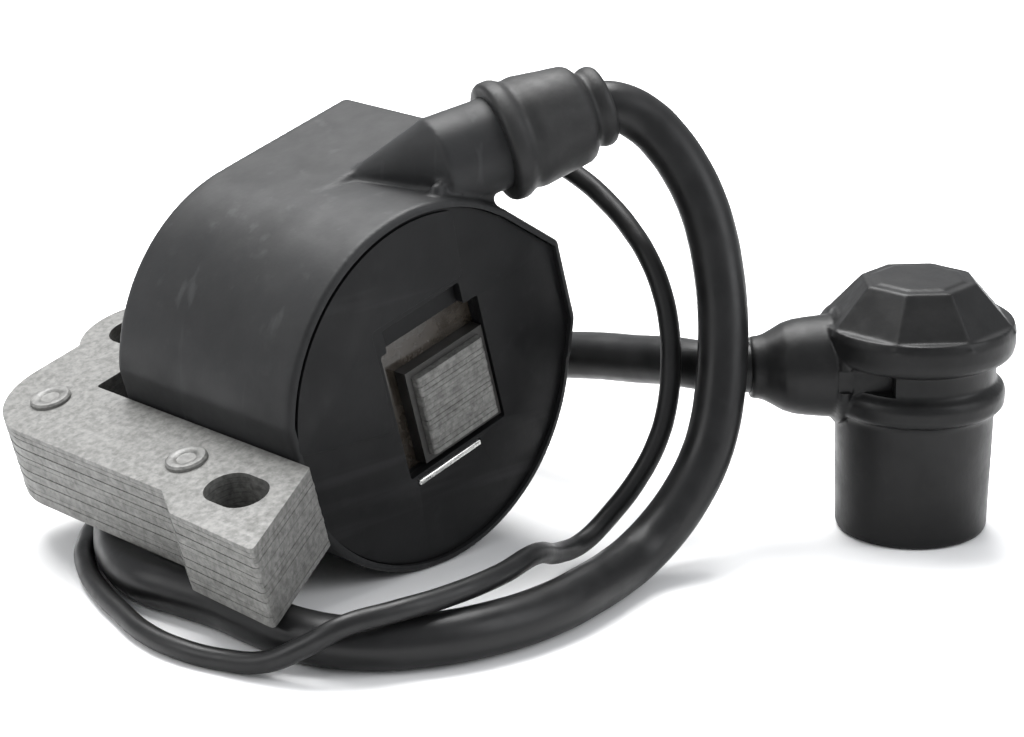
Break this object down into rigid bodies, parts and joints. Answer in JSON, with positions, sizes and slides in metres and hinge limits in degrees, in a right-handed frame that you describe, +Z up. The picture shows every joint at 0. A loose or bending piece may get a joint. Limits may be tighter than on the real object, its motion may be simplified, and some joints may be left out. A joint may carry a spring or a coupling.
{
  "type": "ignition coil",
  "caption": "Small-engine ignition coil with laminated core, moulded drum, angled high-tension tower, plug lead with rubber elbow cap and a thin primary wire.",
  "frame": {"origin": "on the surface it lies on, below the middle of the coil itself (laminations, drum and tower, without the leads and cap)", "axes": "+X along the drum axis towards the flywheel side, +Z up from the surface; the coil lies on its drum and leans 15 degrees about X"},
  "size_m": [0.0899, 0.0978, 0.0551],
  "materials": {
    "lamination": "machined, varnished edges",
    "rivet": "pressed flat",
    "spring_steel": "bright",
    "housing_plastic": "satin moulded",
    "cover_plastic": "satin moulded",
    "bobbin_plastic": "matte",
    "copper": "enamelled",
    "insulation": "varnished paper",
    "bobbin_light": "matte",
    "copper_fine": "enamelled",
    "resin": "cast",
    "brass": "bright",
    "rubber": "satin",
    "lead_jacket": "glossy",
    "wire_jacket": "satin",
    "tinned": "tinned",
    "sleeve_plastic": "satin",
    "cap_rubber": "satin",
    "spring_wire": "plated"
  },
  "bodies": {
    "coil": {"lamination_stack": "lamination", "core_rivets": "rivet", "core_wedge": "spring_steel", "housing": "housing_plastic", "front_cover": "cover_plastic", "primary_bobbin": "bobbin_plastic", "primary_winding": "copper", "insulation_wrap": "insulation", "secondary_bobbin": "bobbin_light", "secondary_winding": "copper_fine", "potting_resin": "resin", "ht_terminal": "brass", "ht_link_wire": "copper", "primary_link_wire": "copper", "earth_link_wire": "copper", "earth_tab": "brass", "tower_sleeve": "rubber", "ht_lead": "lead_jacket", "wire_grommet": "rubber", "primary_wire": "wire_jacket", "wire_terminal": "tinned"},
    "plug_cap": {"plug_cap": "cap_rubber", "plug_spring": "spring_wire", "plug_spike": "brass"},
    "terminal_sleeve": {"terminal_sleeve": "sleeve_plastic"}
  },
  "joints": [
    {"name": "cap_swivel", "type": "hinge", "parent": "coil", "child": "plug_cap", "pos_m": [0.0495, 0.0522, 0.02], "axis": [-0.66, -0.7513, 0], "range_deg": [-90, 90]},
    {"name": "terminal_sleeve_slide", "type": "slide", "parent": "coil", "child": "terminal_sleeve", "axis": [-0.5736, -0.8192, 0], "range_m": [0, 0.006]}
  ]
}
